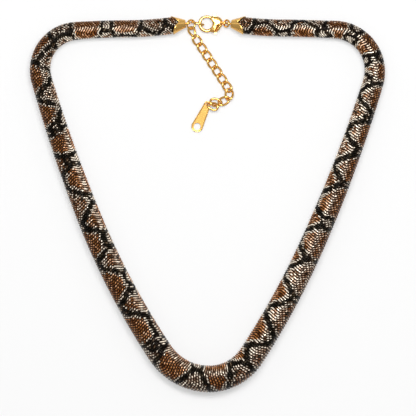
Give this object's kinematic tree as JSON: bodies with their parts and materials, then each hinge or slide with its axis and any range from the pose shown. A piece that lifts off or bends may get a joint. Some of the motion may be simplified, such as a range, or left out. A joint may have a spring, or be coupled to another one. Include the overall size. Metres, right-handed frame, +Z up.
{
  "type": "snake necklace",
  "caption": "Graduated tube-chain necklace with a snake-skin print, gold cone caps, a lobster clasp, and a curb-link extender with a plain drop-shaped tag, lying closed.",
  "frame": {"origin": "middle of the necklace's bounding box, on the surface that it lies on", "axes": "+Z up from the surface, +Y from the front of the chain towards the clasp, +X towards the end that the clasp is on"},
  "size_m": [0.1304, 0.1396, 0.01],
  "materials": {
    "snake_print": "glossy printed metal plates in copper brown, black and cream",
    "gold": "polished gold plating"
  },
  "bodies": {
    "necklace": {"snake_chain": "snake_print", "left_end_cap": "gold", "right_end_cap": "gold", "left_ring": "gold", "right_ring": "gold", "clasp_body": "gold", "hook_link": "gold", "link_01": "gold", "link_02": "gold", "link_03": "gold", "link_04": "gold", "link_05": "gold", "link_06": "gold", "link_07": "gold", "link_08": "gold", "link_09": "gold", "link_10": "gold", "link_11": "gold", "link_12": "gold", "tag": "gold"},
    "lever": {"clasp_lever": "gold"}
  },
  "joints": [
    {"name": "clasp_lever_pivot", "type": "hinge", "parent": "necklace", "child": "lever", "pos_m": [0.0035, 0.06652, 0.0016], "axis": [0, 0, 1], "range_deg": [0, 15], "stiffness_Nm_per_rad": 0.0005, "springref_deg": -11.46}
  ]
}
